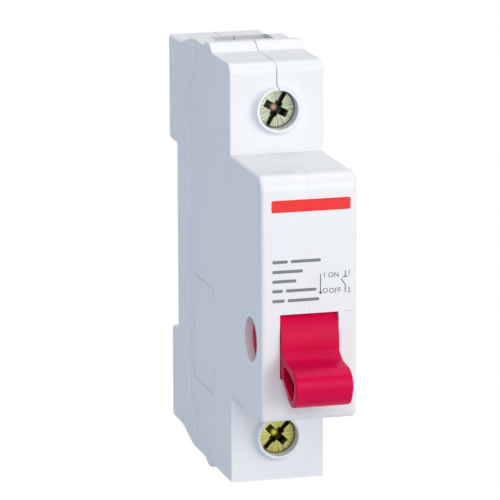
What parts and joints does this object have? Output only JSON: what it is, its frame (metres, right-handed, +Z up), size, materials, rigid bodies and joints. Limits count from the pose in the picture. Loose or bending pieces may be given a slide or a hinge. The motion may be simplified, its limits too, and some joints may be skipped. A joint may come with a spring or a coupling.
{
  "type": "modular switch disconnector",
  "caption": "Narrow moulded rail-mounted switch with a red toggle, stepped nose, screw clamp terminals at both ends and a sprung rail clip.",
  "frame": {"origin": "centre of the rail seat: on the mid-plane, on the plane that the mounting rail's front touches, at the rail's centre line", "axes": "+X across the module to the right seen from the front, -Y out of the front with the handle, +Z up"},
  "size_m": [0.018, 0.0749, 0.0807],
  "materials": {
    "housing_plastic": "satin",
    "handle_plastic": "satin",
    "carrier_plastic": "matte",
    "clip_plastic": "satin",
    "copper": "rolled",
    "contact_silver": "satin",
    "yellow_zinc_steel": "yellow passivated zinc",
    "cage_steel": "zinc plated",
    "spring_steel": "drawn",
    "case_screw_steel": "zinc plated"
  },
  "bodies": {
    "housing": {"left_shell": "housing_plastic", "right_shell": "housing_plastic", "upper_fixed_contact": "copper", "lower_fixed_contact": "copper", "upper_fixed_tip": "contact_silver", "lower_fixed_tip": "contact_silver", "case_screw_1": "case_screw_steel", "case_screw_2": "case_screw_steel", "case_screw_3": "case_screw_steel", "case_screw_4": "case_screw_steel", "handle_spring": "spring_steel", "clip_spring": "spring_steel"},
    "handle": {"handle": "handle_plastic"},
    "carrier": {"contact_carrier": "carrier_plastic", "link": "spring_steel", "contact_spring": "spring_steel"},
    "bridge": {"contact_bridge": "copper", "upper_moving_tip": "contact_silver", "lower_moving_tip": "contact_silver"},
    "upper_screw": {"upper_terminal_screw": "yellow_zinc_steel"},
    "lower_screw": {"lower_terminal_screw": "yellow_zinc_steel"},
    "upper_cage": {"upper_clamp_cage": "cage_steel"},
    "lower_cage": {"lower_clamp_cage": "cage_steel"},
    "rail_clip": {"rail_clip": "clip_plastic"}
  },
  "joints": [
    {"name": "handle_turn", "type": "hinge", "parent": "housing", "child": "handle", "pos_m": [0, -0.0516, -0.0085], "axis": [-1, 0, 0], "range_deg": [0, 46], "deforming": ["handle_spring"]},
    {"name": "carrier_slide", "type": "slide", "parent": "housing", "child": "carrier", "axis": [0, 1, 0], "range_m": [0, 0.0047]},
    {"name": "bridge_float", "type": "slide", "parent": "carrier", "child": "bridge", "axis": [0, -1, 0], "range_m": [0, 0.001], "stiffness_N_per_m": 1500, "springref_m": -0.001, "deforming": ["contact_spring"]},
    {"name": "upper_screw_turn", "type": "hinge", "parent": "housing", "child": "upper_screw", "pos_m": [0, -0.03, 0.0306], "axis": [0, 1, 0], "range_deg": [0, 2700]},
    {"name": "upper_cage_slide", "type": "slide", "parent": "housing", "child": "upper_cage", "axis": [0, -1, 0], "range_m": [0, 0.006]},
    {"name": "lower_screw_turn", "type": "hinge", "parent": "housing", "child": "lower_screw", "pos_m": [0, -0.03, -0.0306], "axis": [0, 1, 0], "range_deg": [0, 2700]},
    {"name": "lower_cage_slide", "type": "slide", "parent": "housing", "child": "lower_cage", "axis": [0, -1, 0], "range_m": [0, 0.006]},
    {"name": "rail_clip_slide", "type": "slide", "parent": "housing", "child": "rail_clip", "axis": [0, 0, -1], "range_m": [0, 0.003], "stiffness_N_per_m": 800, "springref_m": -0.001, "deforming": ["clip_spring"]}
  ],
  "couplings": [
    {"joint": "handle_turn", "follows": "carrier_slide", "rad_per_m": 170.82},
    {"joint": "upper_screw_turn", "follows": "upper_cage_slide", "rad_per_m": 7854},
    {"joint": "lower_screw_turn", "follows": "lower_cage_slide", "rad_per_m": 7854}
  ]
}
